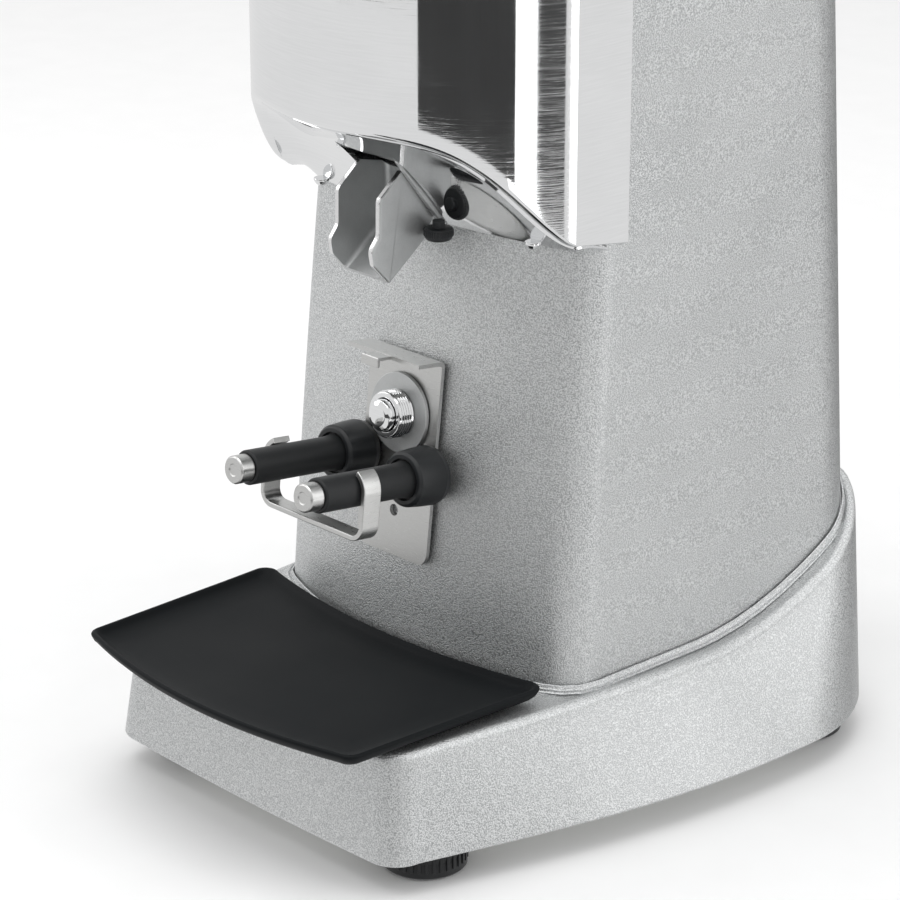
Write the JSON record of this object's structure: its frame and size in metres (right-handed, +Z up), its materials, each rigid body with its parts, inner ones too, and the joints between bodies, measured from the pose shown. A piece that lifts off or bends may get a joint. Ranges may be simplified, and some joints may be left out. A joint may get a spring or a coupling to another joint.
{
  "type": "burr coffee grinder",
  "caption": "Upright on-demand burr grinder: tapered body on a flared base, chrome front cover with spout, filter-holder fork, drip tray, burr set, dose panel and hopper.",
  "frame": {"origin": "centre of the footprint at the feet's undersides, on the surface it stands on", "axes": "+Z up, -Y out of the front towards the user, +X to the right of a user's left hand (the user looks along +Y)"},
  "size_m": [0.22, 0.285, 0.6084],
  "materials": {
    "silver_paint": "silver metallic with a fine speckle, satin",
    "chrome": "mirror, lightly brushed in places",
    "brushed_steel": "brushed",
    "cast_aluminium": "satin casting with machined edges",
    "matt_black": "matt",
    "black_plastic": "satin",
    "black_rubber": "matt",
    "zinc_plate": "zinc plated",
    "laminations": "varnished sheet stack",
    "copper_winding": "enamelled",
    "clear_hopper": "clear, lightly smoked",
    "display_glass": "gloss",
    "circuit_board": "satin"
  },
  "bodies": {
    "machine": {"base_casting": "silver_paint", "base_plate": "zinc_plate", "foot_front_left": "black_rubber", "foot_front_right": "black_rubber", "foot_rear_left": "black_rubber", "foot_rear_right": "black_rubber", "column_housing": "silver_paint", "front_cover": "chrome", "cover_chin": "chrome", "chin_screw_left": "chrome", "chin_screw_right": "chrome", "spout": "cast_aluminium", "spout_saddle": "cast_aluminium", "exit_duct": "cast_aluminium", "hook_plate": "brushed_steel", "fork_boss_left": "black_plastic", "fork_boss_right": "black_plastic", "fork_sleeve_left": "black_rubber", "fork_sleeve_right": "black_rubber", "fork_rod_left": "brushed_steel", "fork_rod_right": "brushed_steel", "fork_brace": "brushed_steel", "switch_washer": "cast_aluminium", "switch_bezel": "chrome", "start_switch": "black_plastic", "motor_cap_lower": "cast_aluminium", "motor_cap_upper": "cast_aluminium", "bearing_lower": "zinc_plate", "bearing_upper": "zinc_plate", "stator_core": "laminations", "winding_lower": "copper_winding", "winding_upper": "copper_winding", "grind_chamber": "cast_aluminium", "top_casting": "silver_paint", "control_pod": "black_plastic", "display_pane": "display_glass", "power_switch_frame": "black_plastic", "cord_gland": "black_plastic", "run_capacitor": "zinc_plate", "control_board": "circuit_board"},
    "tray": {"drip_tray": "matt_black"},
    "start_button": {"start_button": "chrome"},
    "single_button": {"dose_button_single": "brushed_steel"},
    "double_button": {"dose_button_double": "brushed_steel"},
    "menu_button": {"dose_button_menu": "brushed_steel"},
    "rocker": {"power_rocker": "black_plastic"},
    "burr_shaft": {"motor_shaft": "brushed_steel", "rotor_core": "laminations", "lower_burr_carrier": "brushed_steel", "lower_burr": "brushed_steel"},
    "collar": {"adjusting_collar": "black_plastic"},
    "upper_carrier": {"upper_burr_carrier": "cast_aluminium", "upper_burr": "brushed_steel"},
    "hopper": {"hopper_base": "black_plastic", "hopper_shell": "clear_hopper"},
    "gate": {"hopper_gate": "black_plastic"},
    "lid": {"hopper_lid": "black_plastic"},
    "knob": {"spout_knob": "black_plastic"}
  },
  "joints": [
    {"name": "tray_lift", "type": "slide", "parent": "machine", "child": "tray", "axis": [0, 0, 1], "range_m": [0, 0.04]},
    {"name": "start_press", "type": "slide", "parent": "machine", "child": "start_button", "axis": [0, 0.9937, -0.1123], "range_m": [0, 0.003], "stiffness_N_per_m": 600, "springref_m": -0.002},
    {"name": "single_press", "type": "slide", "parent": "machine", "child": "single_button", "axis": [0, 0.4657, -0.8849], "range_m": [0, 0.0015], "stiffness_N_per_m": 600, "springref_m": -0.001},
    {"name": "double_press", "type": "slide", "parent": "machine", "child": "double_button", "axis": [0, 0.4657, -0.8849], "range_m": [0, 0.0015], "stiffness_N_per_m": 600, "springref_m": -0.001},
    {"name": "menu_press", "type": "slide", "parent": "machine", "child": "menu_button", "axis": [0, 0.4657, -0.8849], "range_m": [0, 0.0015], "stiffness_N_per_m": 600, "springref_m": -0.001},
    {"name": "rocker_tilt", "type": "hinge", "parent": "machine", "child": "rocker", "pos_m": [-0.0774, 0.1045, 0.128], "axis": [0, 1, 0], "range_deg": [0, 20]},
    {"name": "shaft_spin", "type": "hinge", "parent": "machine", "child": "burr_shaft", "pos_m": [0, 0.0365, 0.2], "axis": [0, 0, 1], "continuous": true},
    {"name": "collar_turn", "type": "hinge", "parent": "machine", "child": "collar", "pos_m": [0, 0.0365, 0.342], "axis": [0, 0, 1], "range_deg": [-135, 135]},
    {"name": "upper_carrier_rise", "type": "slide", "parent": "machine", "child": "upper_carrier", "axis": [0, 0, 1], "range_m": [-0.00057, 0.00057]},
    {"name": "hopper_lift", "type": "slide", "parent": "machine", "child": "hopper", "axis": [0, 0, 1], "range_m": [0, 0.06]},
    {"name": "gate_pull", "type": "slide", "parent": "hopper", "child": "gate", "axis": [0, -1, 0], "range_m": [0, 0.057]},
    {"name": "lid_lift", "type": "slide", "parent": "hopper", "child": "lid", "axis": [0, 0, 1], "range_m": [0, 0.04]},
    {"name": "knob_turn", "type": "hinge", "parent": "machine", "child": "knob", "pos_m": [0.0182, -0.0389, 0.2193], "axis": [0, 0, 1], "range_deg": [0, 540]}
  ],
  "couplings": [
    {"joint": "upper_carrier_rise", "follows": "collar_turn", "m_per_rad": 0.00023873}
  ]
}
